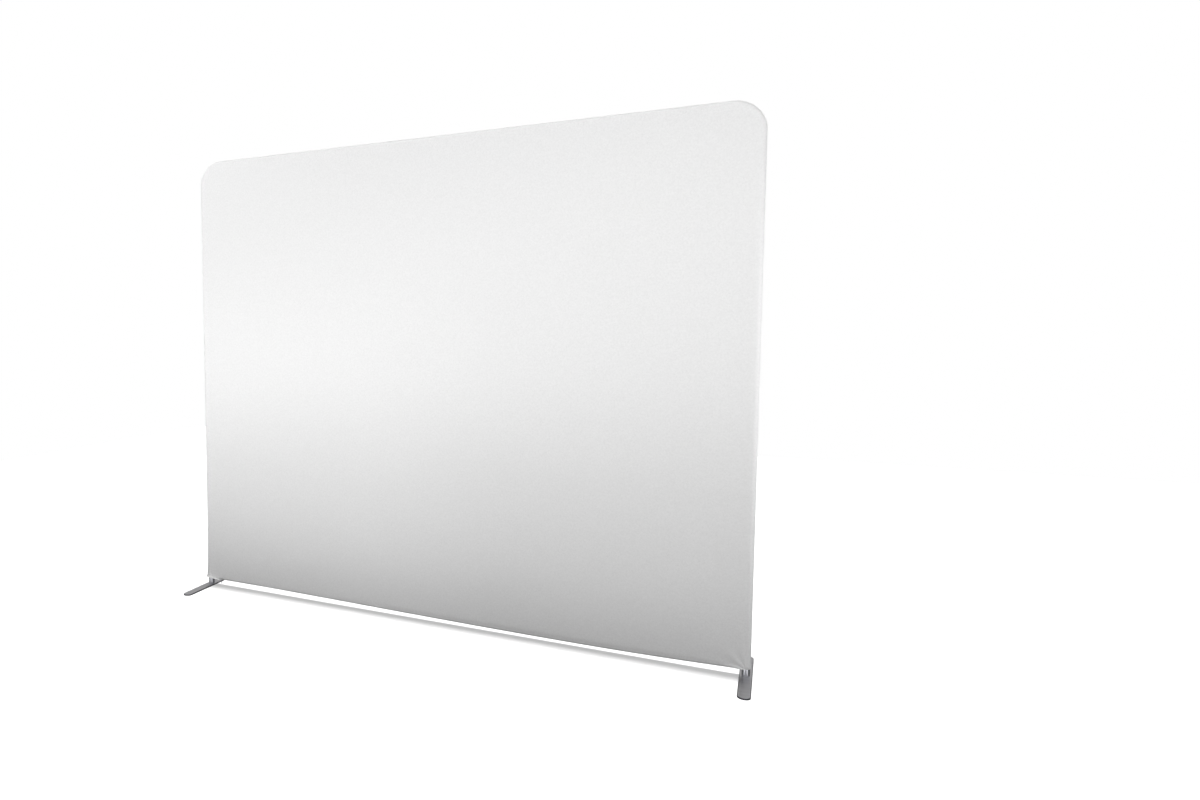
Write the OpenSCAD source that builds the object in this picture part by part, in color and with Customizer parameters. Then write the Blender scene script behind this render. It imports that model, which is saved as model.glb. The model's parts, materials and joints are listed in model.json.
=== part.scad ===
// Display backwall: a knock-down tube frame with spring-button joints,
// a stretch fabric cover pulled over it, and two flat feet.
// Millimetres. +X runs along the wall, -Y is the front, +Z is up.
// The origin is on the floor, at the middle of the wall.

/* [Frame] */
// Width between the centre lines of the two posts
frame_w = 2716; // [2000:1:3400]
// Height of the bottom rail's centre line above the floor
rail_low_z = 56; // [50:1:90]
// Height between the centre lines of the bottom and top rails
frame_h = 2228; // [1600:1:2600]
// Outside diameter of the frame tubes
tube_d = 32; // [28:1:38]
// Wall of the frame tubes
tube_wall = 1.2; // [1:0.1:2]
// Centre line radius of the top corner bends
bend_r = 108; // [90:1:160]
// Reach of an elbow and of a lower corner along the rail, from the post's centre line
corner_leg_x = 205; // [200:1:320]
// Reach of an elbow down the post, from the top rail's centre line
elbow_leg_z = 236; // [220:1:320]
// Height of the lower corner's post stub above the bottom rail's centre line
stub_leg_z = 217; // [120:1:320]
// Distance of the rails' second joint from the middle of the wall
rail_split_x = 600; // [450:1:750]

/* [Centre bar] */
// Distance of the bar from the middle of the wall
bar_x = 43; // [20:1:200]
// Outside diameter of the bar
bar_d = 19; // [16:0.5:25]
// Wall of the bar's tubes
bar_wall = 1.2; // [1:0.1:2]
// Length of the swaged end that goes into the next bar tube
swage_len = 40; // [20:1:60]
// Length of the plug's collar between the rail and the bar
plug_collar = 6; // [4:0.5:20]
// Length of the plug inside the bar
plug_len = 24; // [12:1:40]
// Diameter of the plug's pin in the rail
plug_pin_d = 6; // [4:0.5:8]

/* [Tube joints] */
// Distance of the button from the joint line
button_offset = 21; // [18:0.5:26]
// Distance of the rivet from the joint line
rivet_offset = 21; // [18:0.5:26]
// Length of an inner sleeve on each side of the joint line
sleeve_half = 37; // [34:0.5:38]
// Wall of the inner sleeve
sleeve_wall = 1.5; // [1:0.1:2]
// Gap between the sleeve and the tube around it
sleeve_gap = 0.1; // [0.05:0.05:0.3]
// Diameter of the spring button
button_d = 8.5; // [6:0.5:10]
// How far the button stands out of the tube
button_rise = 5; // [3:0.5:6]
// Gap around the button in its holes
button_gap = 0.1; // [0.05:0.05:0.3]
// Width of the button's foot and of its spring
leaf_w = 8; // [6:0.5:9]
// Length of the button's foot
leaf_len = 14; // [12:0.5:16]
// Thickness of the button's foot
leaf_t = 1; // [0.8:0.1:1.5]
// Thickness of the V spring
spring_t = 0.8; // [0.5:0.1:1]
// Length of the V spring, from the button's centre line to its bend
spring_len = 29; // [24:0.5:32]
// Diameter of the rivets
rivet_d = 4.8; // [3:0.1:6]
// Diameter of the rivets' heads
rivet_head_d = 8; // [6:0.5:10]
// Height of the rivets' heads
rivet_head_t = 0.8; // [0.5:0.1:1.5]

/* [Feet] */
// Length of a foot plate, across the wall
foot_len = 440; // [300:1:600]
// Width of a foot plate
foot_w = 50; // [44:1:80]
// Thickness of a foot plate
foot_t = 6; // [5:0.5:10]
// Bevel along the foot plate's top edge
foot_bevel = 1.2; // [0.5:0.1:2]
// Gap between the foot plate and the post
foot_gap = 0.2; // [0.1:0.1:0.5]
// Diameter of the foot screw
screw_d = 10; // [8:0.5:12]
// Diameter of the foot screw's countersunk head
screw_head_d = 20; // [16:0.5:22]
// Length of the foot screw, from under the plate
screw_len = 30; // [20:1:40]
// Running gap around the screw
screw_gap = 0.1; // [0.05:0.05:0.2]
// Width of the hexagon socket in the screw's head
socket_w = 6; // [5:0.5:8]
// Depth of the hexagon socket
socket_depth = 3.5; // [2:0.5:5]
// Length of the threaded plug in the post
post_plug_len = 32; // [24:1:34]

/* [Cover] */
// Thickness of the stretch fabric
fabric_t = 1; // [0.8:0.1:2]
// Gap between the fabric and the tubes
fabric_gap = 0.3; // [0.3:0.1:1]
// How far the lower edge of the panels hangs down at its lowest place
hem_drop = 15; // [5:1:30]
// Where that lowest place is, to the right of the middle
hem_low_x = 650; // [0:10:800]
// Width of the cut corner where the left post leaves the front panel
corner_cut_w = 66; // [20:1:90]
// Height of that cut corner
corner_cut_h = 20; // [8:1:30]
// How much higher the left edge band ends, beside that corner
left_band_lift = 6; // [0:1:10]
// Gap between the bottom rail and the hems under it
hem_gap = 1; // [0.5:0.1:3]
// Distance between the hems and a post's centre line
hem_end = 34; // [24:1:60]
// Width of the zip's chain of teeth
zip_w = 6; // [5:0.5:8]
// Thickness of the zip's chain
zip_t = 2; // [1.6:0.1:3]
// Distance of the slider from the end of the zip when it is closed
slider_end = 34; // [24:1:80]
// Length of the zip slider
slider_len = 12; // [8:0.5:16]
// Width of the zip slider
slider_w = 9; // [8:0.5:12]
// Length of the zip pull
pull_len = 24; // [15:0.5:24]

/* [Hidden] */
$fn = 64;

slack = 0.01;                               // overlap of cuts past the faces they open
tube_r = tube_d / 2;
bore_r = tube_r - tube_wall;
post_x = frame_w / 2;
top_z = rail_low_z + frame_h;
bend_x = post_x - bend_r;                   // centre of the right bend
bend_z = top_z - bend_r;

// Joint lines of the rails, from left to right, and the side on which each has its button:
// the elbows and lower corners take the sleeves at the ends.
rail_joint_x = [-(post_x - corner_leg_x), -rail_split_x, 0, rail_split_x, post_x - corner_leg_x];
rail_button_side = [-1, 1, -1, -1, 1];
// Joint lines of the posts, from top to bottom.
post_top_z = top_z - elbow_leg_z;
post_low_z = rail_low_z + stub_leg_z;
post_seg = (post_top_z - post_low_z) / 3;
post_joint_z = [post_top_z, post_top_z - post_seg, post_low_z + post_seg, post_low_z];
post_button_side = [1, 1, 1, -1];

sleeve_r = bore_r - sleeve_gap;
sleeve_bore_r = sleeve_r - sleeve_wall;
button_hole_d = button_d + 2 * button_gap;
rivet_hole_d = rivet_d + 2 * button_gap;
// A flat strip as wide as the spring fits in the sleeve up to this height above the axis.
leaf_gap = 0.35;
leaf_top = sqrt(pow(sleeve_bore_r, 2) - pow(leaf_w / 2, 2)) - leaf_gap;
far_leaf = 5;                               // the spring's lower leaf past the button's centre line
spring_slant = 1.4;                         // a slanting leaf's width along the tube, in thicknesses
dome_r = 0.62 * button_d;
rivet_tail_d = 0.8 * rivet_head_d;
rivet_crown_d = 0.7 * rivet_head_d;
rivet_gap = 0.1;
rivet_tail_top = sqrt(pow(sleeve_bore_r, 2) - pow(rivet_tail_d / 2, 2)) - rivet_gap;

bar_r = bar_d / 2;
bar_bore_r = bar_r - bar_wall;
bar_low = rail_low_z + tube_r + plug_collar;
bar_high = top_z - tube_r - plug_collar;
bar_count = 4;
bar_seg = (bar_high - bar_low) / bar_count;
swage_gap = 0.1;
shoulder = 1.5 * bar_wall;                  // metal where a tube narrows to its swaged end
saddle_gap = 0.1;
pin_past = 2;                               // how far a plug's pin shows inside the rail

post_foot_z = foot_t + foot_gap;            // lower end of the posts
screw_recess = 0.4;                         // the screw's head stays above the floor

fab_in = tube_r + fabric_gap;               // inner and outer faces of the cover
fab_out = fab_in + fabric_t;
cover_low_z = rail_low_z - fab_out;
hem_z = rail_low_z - tube_r - hem_gap - fabric_t;
hem_half = post_x - hem_end;
hem_steps = 28;                             // straight pieces in the panels' lower edge
hem_shape = [2.2, 0.8];                     // left and right of the lowest place: below 1 is flatter there
zip_half = zip_w / 2;
slider_x = -(hem_half - slider_end);
slider_gap = 0.3;
slider_plate = 1.2;
zip_mid_z = hem_z + fabric_t / 2;
plate_z = zip_mid_z - zip_t / 2 - slider_gap - slider_plate;
pull_drop = 1.6;                            // the pull's pin below the slider's plate
pull_pin_z = plate_z - pull_drop;
pull_pin_d = 1.3;
pull_gap = 0.1;
pull_arm = 1.2;                             // width of the pull's arms beside the lug
pull_w = 6;
lug_w = 2.4;
lug_low = 1.4;                              // the lug's reach below the pin

/* --- Placing things at the tube joints ---
   In a joint's own frame +X runs along the tube towards the button's side, and
   +Z points out of the tube, towards the inside of the wall's frame. */

module toward(side) { rotate([0, 0, side > 0 ? 0 : 180]) children(); }
module at_top(i) {
    translate([rail_joint_x[i], 0, top_z]) rotate([180, 0, 0]) toward(rail_button_side[i]) children();
}
module at_bottom(i) {
    translate([rail_joint_x[i], 0, rail_low_z]) toward(rail_button_side[i]) children();
}
module at_right(i) {
    translate([post_x, 0, post_joint_z[i]]) rotate([0, -90, 0]) toward(post_button_side[i]) children();
}
module at_left(i) {
    mirror([1, 0, 0]) at_right(i) children();
}

// The holes that each joint has: one for the button, one for the rivet.
module joint_holes() {
    translate([button_offset, 0, sleeve_bore_r / 2])
        cylinder(h = tube_r, d = button_hole_d);
    translate([-rivet_offset, 0, sleeve_bore_r / 2])
        cylinder(h = tube_r, d = rivet_hole_d);
}

// A straight tube along +X from x0 to x1.
module tube_x(x0, x1, r_out, r_in) {
    translate([x0, 0, 0]) rotate([0, 90, 0]) difference() {
        cylinder(h = x1 - x0, r = r_out);
        translate([0, 0, -slack]) cylinder(h = x1 - x0 + 2 * slack, r = r_in);
    }
}
// A straight tube along +Z from z0 to z1.
module tube_z(z0, z1, r_out, r_in) {
    translate([0, 0, z0]) difference() {
        cylinder(h = z1 - z0, r = r_out);
        translate([0, 0, -slack]) cylinder(h = z1 - z0 + 2 * slack, r = r_in);
    }
}

/* --- Rails and posts --- */

module top_rail(i) {
    color("silver") difference() {
        translate([0, 0, top_z]) tube_x(rail_joint_x[i], rail_joint_x[i + 1], tube_r, bore_r);
        for (j = [i, i + 1]) at_top(j) joint_holes();
        bar_pin_hole(top_z);
    }
}
module bottom_rail(i) {
    color("silver") difference() {
        translate([0, 0, rail_low_z]) tube_x(rail_joint_x[i], rail_joint_x[i + 1], tube_r, bore_r);
        for (j = [i, i + 1]) at_bottom(j) joint_holes();
        bar_pin_hole(rail_low_z);
    }
}
module right_post(i) {
    color("silver") difference() {
        translate([post_x, 0, 0]) tube_z(post_joint_z[i + 1], post_joint_z[i], tube_r, bore_r);
        for (j = [i, i + 1]) at_right(j) joint_holes();
    }
}
module left_post(i) { mirror([1, 0, 0]) right_post(i); }

// The bar's pins sit in one hole in the inner wall of each rail.
module bar_pin_hole(z) {
    inward = z == top_z ? -1 : 1;
    translate([bar_x, 0, z + inward * tube_r])
        cylinder(h = 4 * tube_wall, d = plug_pin_d + 2 * button_gap, center = true);
}

/* --- Corners --- */

// The bent part and two straight legs of the right elbow, as a solid of radius r.
module elbow_form(r, past) {
    translate([bend_x, 0, bend_z]) rotate([90, 0, 0])
        rotate_extrude(angle = 90) translate([bend_r, 0]) circle(r = r);
    translate([rail_joint_x[4] - past, 0, top_z]) rotate([0, 90, 0])
        cylinder(h = bend_x - rail_joint_x[4] + past, r = r);
    translate([post_x, 0, post_top_z - past])
        cylinder(h = bend_z - post_top_z + past, r = r);
}
module elbow_right() {
    color("silver") difference() {
        elbow_form(tube_r, 0);
        elbow_form(bore_r, slack);
        at_top(4) joint_holes();
        at_right(0) joint_holes();
    }
}

// A post stub that stands on the foot, with a rail stub welded to its inner side.
module lower_corner() {
    rail_stub = post_x - rail_joint_x[4];
    color("silver") difference() {
        union() {
            translate([post_x, 0, post_foot_z]) cylinder(h = post_low_z - post_foot_z, r = tube_r);
            translate([rail_joint_x[4], 0, rail_low_z]) rotate([0, 90, 0])
                cylinder(h = rail_stub, r = tube_r);
        }
        translate([post_x, 0, post_foot_z - slack])
            cylinder(h = post_low_z - post_foot_z + 2 * slack, r = bore_r);
        translate([rail_joint_x[4] - slack, 0, rail_low_z]) rotate([0, 90, 0])
            cylinder(h = rail_stub - tube_r - tube_wall, r = bore_r);
        at_bottom(4) joint_holes();
        at_right(3) joint_holes();
    }
}

/* --- What holds the tubes together --- */

module sleeve() {
    color("gainsboro") difference() {
        tube_x(-sleeve_half, sleeve_half, sleeve_r, sleeve_bore_r);
        joint_holes();
    }
}
module rivet() {
    color("midnightblue") translate([-rivet_offset, 0, 0]) {
        translate([0, 0, rivet_tail_top - leaf_t]) cylinder(h = leaf_t, d = rivet_tail_d);
        translate([0, 0, rivet_tail_top - slack])
            cylinder(h = tube_r - rivet_tail_top + 2 * slack, d = rivet_d);
        translate([0, 0, tube_r]) cylinder(h = rivet_head_t, d1 = rivet_head_d, d2 = rivet_crown_d);
    }
}
// A button with a domed end, on a flat foot that can't pass the sleeve's wall.
module button() {
    color("slategray") translate([button_offset, 0, 0]) {
        translate([-leaf_len / 2, -leaf_w / 2, leaf_top - leaf_t]) cube([leaf_len, leaf_w, leaf_t]);
        intersection() {
            translate([0, 0, leaf_top - slack])
                cylinder(h = tube_r + button_rise - leaf_top + slack, d = button_d);
            translate([0, 0, tube_r + button_rise - dome_r]) union() {
                sphere(r = dome_r);
                mirror([0, 0, 1]) cylinder(h = tube_r + button_rise, r = dome_r);
            }
        }
    }
}
// A strip bent to a V: it lies on the far wall and reaches up beside the button's foot.
module v_spring() {
    reach = leaf_len / 2 + leaf_gap;
    low = -leaf_top;
    color("dimgray") translate([button_offset, leaf_w / 2, 0]) rotate([90, 0, 0])
        linear_extrude(height = leaf_w) union() {
            polygon([[-reach, leaf_top], [-reach - spring_slant * spring_t, leaf_top],
                     [-spring_len - spring_t, 0], [-spring_len, 0]]);
            polygon([[far_leaf, low], [far_leaf, low + spring_t],
                     [-spring_len, 0], [-spring_len - spring_t, 0], [-spring_len + spring_t, -spring_t]]);
        }
}
module every_rail_joint() {
    for (i = [0 : len(rail_joint_x) - 1]) {
        at_top(i) children();
        at_bottom(i) children();
    }
}
module every_post_joint() {
    for (i = [0 : len(post_joint_z) - 1]) {
        at_left(i) children();
        at_right(i) children();
    }
}
module rail_sleeves() { every_rail_joint() sleeve(); }
module post_sleeves() { every_post_joint() sleeve(); }
module sleeve_rivets() {
    every_rail_joint() rivet();
    every_post_joint() rivet();
}
module button_springs() {
    every_rail_joint() v_spring();
    every_post_joint() v_spring();
}

/* --- Centre bar --- */

// One tube of the bar: its upper end is open, its lower end is swaged into the tube below,
// except on the lowest tube, which stands on the plug.
module centre_bar(i) {
    z0 = bar_low + (i - 1) * bar_seg;
    swage_r = bar_bore_r - swage_gap;
    color("silver") translate([bar_x, 0, 0]) difference() {
        union() {
            translate([0, 0, z0]) cylinder(h = bar_seg, r = bar_r);
            if (i > 1) translate([0, 0, z0 - swage_len]) cylinder(h = swage_len + slack, r = swage_r);
        }
        translate([0, 0, z0 + (i > 1 ? shoulder : -slack)])
            cylinder(h = bar_seg + slack, r = bar_bore_r);
        if (i > 1) translate([0, 0, z0 - swage_len - slack])
            cylinder(h = swage_len + shoulder + 2 * slack, r = swage_r - bar_wall);
    }
}
// The plug has a collar that is saddled to the rail, and a pin that goes through its wall.
module lower_bar_plug() {
    difference() {
        union() {
            cylinder(h = tube_r + plug_collar, r = bar_r);
            translate([0, 0, tube_r + plug_collar - slack]) cylinder(h = plug_len, r = bar_bore_r - swage_gap);
        }
        rotate([0, 90, 0]) cylinder(h = 4 * bar_r, r = tube_r + saddle_gap, center = true);
    }
    translate([0, 0, bore_r - pin_past])
        cylinder(h = tube_r + plug_collar / 2 - bore_r + pin_past, d = plug_pin_d);
}
module bar_end_plugs() {
    color("gainsboro") {
        translate([bar_x, 0, rail_low_z]) lower_bar_plug();
        translate([bar_x, 0, top_z]) mirror([0, 0, 1]) lower_bar_plug();
    }
}

/* --- Feet --- */

module foot_profile(half) {
    polygon([[0, 0], [half, 0], [half, foot_t - foot_bevel], [half - foot_bevel, foot_t], [0, foot_t]]);
}
module foot_plate() {
    run = foot_len / 2 - foot_w / 2;
    head_h = screw_head_d / 2 - screw_d / 2;
    color("gray") difference() {
        union() {
            translate([0, run, 0]) rotate([90, 0, 0]) linear_extrude(height = 2 * run) {
                foot_profile(foot_w / 2);
                mirror([1, 0]) foot_profile(foot_w / 2);
            }
            for (s = [-1, 1]) translate([0, s * run, 0])
                rotate_extrude() foot_profile(foot_w / 2);
        }
        translate([0, 0, -slack]) cylinder(h = foot_t + 2 * slack, d = screw_d + 2 * screw_gap);
        translate([0, 0, screw_recess]) cylinder(h = head_h, d1 = screw_head_d + 2 * screw_gap,
                                                 d2 = screw_d + 2 * screw_gap);
        translate([0, 0, -slack]) cylinder(h = screw_recess + 2 * slack, d = screw_head_d + 2 * screw_gap);
    }
}
module foot_screw() {
    head_h = screw_head_d / 2 - screw_d / 2;
    difference() {
        union() {
            translate([0, 0, screw_recess]) cylinder(h = head_h, d1 = screw_head_d, d2 = screw_d);
            translate([0, 0, screw_recess + head_h - slack])
                cylinder(h = screw_len - head_h, d = screw_d);
        }
        translate([0, 0, screw_recess - slack])
            cylinder(h = socket_depth, d = socket_w / cos(30), $fn = 6);
    }
}
module post_plug() {
    difference() {
        translate([0, 0, post_foot_z]) cylinder(h = post_plug_len, r = bore_r - sleeve_gap);
        translate([0, 0, post_foot_z - slack])
            cylinder(h = post_plug_len + 2 * slack, d = screw_d + 2 * screw_gap);
    }
}
module foot_screws() {
    color("dimgray") for (s = [-1, 1]) translate([s * post_x, 0, 0]) foot_screw();
}
module post_plugs() {
    color("silver") for (s = [-1, 1]) translate([s * post_x, 0, 0]) post_plug();
}

/* --- Cover --- */

// The lower edge of a panel hangs in a shallow curve, lowest on the right and tighter on the left.
function hem_part(x) = (x - hem_low_x) / (x < hem_low_x ? -post_x - hem_low_x : post_x - hem_low_x);
function hem_line(x) = cover_low_z
    - hem_drop * pow(1 - pow(hem_part(x), 2), hem_shape[x < hem_low_x ? 0 : 1]);
module panel_outline(cut) {
    union() {
        polygon(concat(
            [[post_x, bend_z], [-post_x, bend_z]],
            cut ? [[-post_x, cover_low_z + corner_cut_h]] : [[-post_x, cover_low_z]],
            [for (i = [0 : hem_steps]) let (x = -post_x + (cut ? corner_cut_w : 0)
                + (2 * post_x - (cut ? corner_cut_w : 0)) * i / hem_steps) [x, hem_line(x)]]));
        translate([-bend_x, bend_z - slack]) square([2 * bend_x, bend_r + slack]);
        for (s = [-1, 1]) translate([s * bend_x, bend_z]) circle(r = bend_r);
    }
}
module panel(cut) {
    rotate([90, 0, 0]) linear_extrude(height = fabric_t) panel_outline(cut);
}
module cover_front() { color("white") translate([0, -fab_in, 0]) panel(true); }
module cover_back() { color("white") translate([0, fab_out, 0]) panel(false); }

// The cut through a band: half a ring around the tube, on its outer side.
module band_profile() {
    intersection() {
        difference() {
            circle(r = fab_out);
            circle(r = fab_in);
        }
        translate([0, -fab_out - slack]) square([fab_out + slack, 2 * (fab_out + slack)]);
    }
}
module edge_band(low) {
    translate([post_x, 0, low]) linear_extrude(height = bend_z - low) band_profile();
}
module cover_edge_right() { color("whitesmoke") edge_band(cover_low_z); }
module cover_edge_left() { color("whitesmoke") mirror([1, 0, 0]) edge_band(cover_low_z + left_band_lift); }
module cover_edge_top() {
    color("whitesmoke") {
        translate([-bend_x, 0, top_z]) rotate([0, 90, 0]) rotate([0, 0, 180])
            linear_extrude(height = 2 * bend_x) band_profile();
        for (s = [0, 1]) mirror([s, 0, 0]) translate([bend_x, 0, bend_z]) rotate([90, 0, 0])
            rotate_extrude(angle = 90) translate([bend_r, 0]) band_profile();
    }
}

// The hems close the cover under the bottom rail, and stop short of the posts.
module hem(side) {
    color("white") translate([-hem_half, side > 0 ? zip_half : -fab_in, hem_z])
        cube([2 * hem_half, fab_in - zip_half, fabric_t]);
}
module cover_hem_front() { hem(-1); }
module cover_hem_back() { hem(1); }
module zip_chain() {
    color("lightgray") translate([-hem_half, -zip_half, zip_mid_z - zip_t / 2])
        cube([2 * hem_half, zip_w, zip_t]);
}
// The slider is a tapered plate under the chain, with a lug for the pull.
module zip_slider() {
    nose = slider_w / 2;
    tail = 0.7 * nose;
    color("silver") translate([slider_x, 0, 0]) {
        translate([0, 0, plate_z]) linear_extrude(height = slider_plate)
            polygon([[-slider_len / 2, -tail], [0, -nose], [slider_len / 2 - 1, -nose], [slider_len / 2, -tail],
                     [slider_len / 2, tail], [slider_len / 2 - 1, nose], [0, nose], [-slider_len / 2, tail]]);
        difference() {
            translate([-slider_len / 4, -lug_w / 2, pull_pin_z - lug_low])
                cube([slider_len / 2, lug_w, pull_drop + lug_low + slack]);
            translate([0, 0, pull_pin_z]) rotate([90, 0, 0])
                cylinder(h = 2 * lug_w, d = pull_pin_d + 2 * pull_gap, center = true);
        }
    }
}
// The pull hangs from a pin between two arms, which join below the lug.
module zip_pull() {
    arm_y = lug_w / 2 + 4 * pull_gap;
    arm_len = 2 * lug_low + pull_drop;
    color("silver") translate([slider_x, 0, pull_pin_z]) {
        rotate([90, 0, 0]) cylinder(h = 2 * arm_y + pull_arm, d = pull_pin_d, center = true);
        for (s = [0, 1]) mirror([0, s, 0]) translate([-pull_pin_d / 2, arm_y, -arm_len])
            cube([pull_pin_d, pull_arm, arm_len + pull_pin_d / 2]);
        translate([-pull_pin_d / 2, -pull_w / 2, -pull_len])
            cube([pull_pin_d, pull_w, pull_len - arm_len + slack]);
    }
}

mirror([1, 0, 0]) elbow_right();  // top_elbow_left
elbow_right();  // top_elbow_right
top_rail(0);  // top_rail_1
top_rail(1);  // top_rail_2
top_rail(2);  // top_rail_3
top_rail(3);  // top_rail_4
bottom_rail(0);  // bottom_rail_1
bottom_rail(1);  // bottom_rail_2
bottom_rail(2);  // bottom_rail_3
bottom_rail(3);  // bottom_rail_4
mirror([1, 0, 0]) lower_corner();  // lower_corner_left
lower_corner();  // lower_corner_right
left_post(0);  // post_left_upper
left_post(1);  // post_left_middle
left_post(2);  // post_left_lower
right_post(0);  // post_right_upper
right_post(1);  // post_right_middle
right_post(2);  // post_right_lower
centre_bar(1);  // centre_bar_1
centre_bar(2);  // centre_bar_2
centre_bar(3);  // centre_bar_3
centre_bar(4);  // centre_bar_4
bar_end_plugs();
rail_sleeves();
post_sleeves();
sleeve_rivets();
button_springs();
at_top(0) button();  // top_button_1
at_top(1) button();  // top_button_2
at_top(2) button();  // top_button_3
at_top(3) button();  // top_button_4
at_top(4) button();  // top_button_5
at_bottom(0) button();  // bottom_button_1
at_bottom(1) button();  // bottom_button_2
at_bottom(2) button();  // bottom_button_3
at_bottom(3) button();  // bottom_button_4
at_bottom(4) button();  // bottom_button_5
at_left(0) button();  // left_button_1
at_left(1) button();  // left_button_2
at_left(2) button();  // left_button_3
at_left(3) button();  // left_button_4
at_right(0) button();  // right_button_1
at_right(1) button();  // right_button_2
at_right(2) button();  // right_button_3
at_right(3) button();  // right_button_4
post_plugs();
foot_screws();
translate([-post_x, 0, 0]) foot_plate();  // foot_plate_left
translate([post_x, 0, 0]) foot_plate();  // foot_plate_right
cover_front();
cover_back();
cover_edge_left();
cover_edge_right();
cover_edge_top();
cover_hem_front();
cover_hem_back();
zip_chain();
zip_slider();
zip_pull();
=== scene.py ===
"""Looks of a tension fabric display wall: a tube frame inside a white stretch cover, on two feet.

Metres, in the part's own frame: +X along the wall, -Y the front, +Z up, the origin on the floor,
midway between the posts.
"""

import json
import math

import bmesh
import bpy
from mathutils import Matrix, Vector


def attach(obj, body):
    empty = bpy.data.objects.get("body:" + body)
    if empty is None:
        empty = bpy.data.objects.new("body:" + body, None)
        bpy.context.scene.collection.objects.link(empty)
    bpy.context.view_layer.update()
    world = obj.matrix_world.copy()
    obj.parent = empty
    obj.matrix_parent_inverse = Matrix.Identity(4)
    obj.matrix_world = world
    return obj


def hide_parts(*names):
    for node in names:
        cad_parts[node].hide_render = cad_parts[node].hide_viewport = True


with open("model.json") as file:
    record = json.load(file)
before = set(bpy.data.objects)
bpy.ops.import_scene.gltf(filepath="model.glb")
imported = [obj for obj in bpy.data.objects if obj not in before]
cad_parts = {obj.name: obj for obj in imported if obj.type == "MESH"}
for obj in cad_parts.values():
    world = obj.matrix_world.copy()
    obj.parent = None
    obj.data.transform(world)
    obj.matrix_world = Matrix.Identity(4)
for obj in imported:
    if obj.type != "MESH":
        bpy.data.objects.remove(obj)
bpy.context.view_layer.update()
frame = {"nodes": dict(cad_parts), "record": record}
NODES = frame["nodes"]

# Main lines of the frame, as in the part's source.
POST_X = 1.358  # the posts' centre lines, left and right
TOP_Z = 2.284  # the top rail's centre line
RAIL_Z = 0.056  # the bottom rail's centre line
BEND_R = 0.108
BEND_X = POST_X - BEND_R
BEND_Z = TOP_Z - BEND_R
TUBE_R = 0.016
RAIL_JOINTS = (0.0, 0.6, 1.153)  # either side of the middle
POST_JOINTS = (0.273, 0.86467, 1.45633, 2.048)
FOOT_LEN = 0.44
FOOT_W = 0.05

# Main lines of the cover, as in the part's source.
FAB_IN = 0.0163  # the knit's inner face, from a tube's centre line
FAB_T = 0.0008
FAB_MID = FAB_IN + FAB_T / 2
COVER_LOW = 0.0387  # the panels' lower edge at the posts
HEM_DROP = 0.0172  # how much lower it hangs at HEM_LOW_X
HEM_LOW_X = 0.65
HEM_SHAPE = (2.2, 0.8)  # the exponents of its curve, left and right of HEM_LOW_X
CUT_W = 0.066  # the cut at the front panel's lower left corner
CUT_H = 0.020
HEM_Z = 0.0385  # the zip's height, and half its length
HEM_HALF = 1.324
SLIDER_X = -1.290
PULL_Z = 0.0344  # the pin that the pull swings on

# How the cloth hangs.
LEAN = 0.36  # slope of the knit at the hem, where it's drawn in under the rail
LEAN_UP = 0.035  # it starts this far above the hem
BESIDE_POST = 0.018  # no hem is turned or drawn in this close to a post's centre line
LOOSE = 0.008  # the cut corner stands this far off the left post
LOOSE_UP = 0.12
FOLD = 0.006  # the knit's raw edge lies this far up inside the hem
FOLD_SIZES = {-1: 0.0020, 1: 0.0055}  # folds at the left and the right lower corner

# The camera, in metres and degrees.
CAMERA_SPOT = (1.4356, -3.42, 1.4207)
CAMERA_TURNS = ((26.05, "Z"), (90 - 4.17, "X"), (-0.15, "Z"))  # left, down, roll
CAMERA_LENS = 23.64
CAMERA_SHIFT = (0.173, -0.0125)


def make_camera():
    data = bpy.data.cameras.new("camera")
    data.sensor_width = 36
    data.lens = CAMERA_LENS
    data.shift_x, data.shift_y = CAMERA_SHIFT
    cam = bpy.data.objects.new("camera", data)
    cam.location = CAMERA_SPOT
    turn = Matrix.Identity(3)
    for degrees, axis in CAMERA_TURNS:
        turn = turn @ Matrix.Rotation(math.radians(degrees), 3, axis)
    cam.rotation_euler = turn.to_euler()
    bpy.context.scene.collection.objects.link(cam)
    bpy.context.scene.camera = cam


# ------------------------------------------------------------------ meshes
def new_object(name, verts, faces, smooth=True):
    mesh = bpy.data.meshes.new(name)
    mesh.from_pydata(verts, [], faces)
    mesh.validate()
    mesh.update()
    for face in mesh.polygons:
        face.use_smooth = smooth
    obj = bpy.data.objects.new(name, mesh)
    bpy.context.scene.collection.objects.link(obj)
    return obj


def apply_modifiers(obj):
    bpy.context.view_layer.update()
    graph = bpy.context.evaluated_depsgraph_get()
    mesh = bpy.data.meshes.new_from_object(obj.evaluated_get(graph))
    obj.modifiers.clear()
    obj.data = mesh


def thicken(obj, thickness):
    mod = obj.modifiers.new("thick", "SOLIDIFY")
    mod.thickness = thickness
    mod.offset = 0
    mod.use_even_offset = True
    apply_modifiers(obj)
    obj.data.set_sharp_from_angle(angle=math.radians(40))


def steps(a, b, n):
    return [a + (b - a) * i / n for i in range(n + 1)]


def circle(n):
    """n angles round a circle."""
    return steps(0, 2 * math.pi, n)[:-1]


def sweep(name, sections, closed=False):
    """A skin through equal cross-sections, each a list of points. A closed one is a solid."""
    verts = [tuple(p) for section in sections for p in section]
    n = len(sections[0])
    wrap = n if closed else n - 1
    faces = []
    for i in range(len(sections) - 1):
        for k in range(wrap):
            a, b = i * n + k, i * n + (k + 1) % n
            faces.append((a, b, b + n, a + n))
    if closed:
        faces.append(tuple(reversed(range(n))))
        faces.append(tuple(range(len(verts) - n, len(verts))))
    return new_object(name, verts, faces)


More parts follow.
